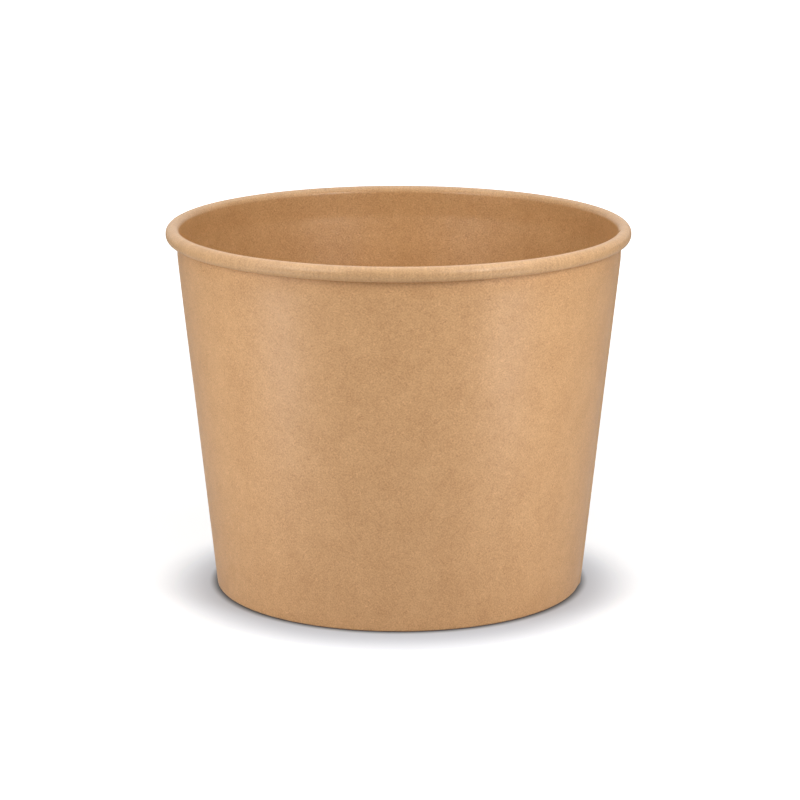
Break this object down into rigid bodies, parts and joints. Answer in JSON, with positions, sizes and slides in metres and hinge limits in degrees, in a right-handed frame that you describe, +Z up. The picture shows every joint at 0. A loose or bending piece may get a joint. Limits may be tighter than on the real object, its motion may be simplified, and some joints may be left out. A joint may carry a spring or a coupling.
{
  "type": "paper soup container",
  "caption": "Round tapered soup container of kraft board, open at the top, with a rolled rim for a lid and a raised base disc locked in a folded hem.",
  "frame": {"origin": "middle of the foot, on the surface that the container stands on", "axes": "+Z up along the axis of the container, -Y towards the viewer of the picture, +X to the viewer's right"},
  "size_m": [0.117, 0.117, 0.0927],
  "materials": {
    "wall_board": "matt",
    "base_board": "matt"
  },
  "bodies": {
    "root": {"sidewall": "wall_board", "base_disc": "base_board"}
  },
  "joints": []
}
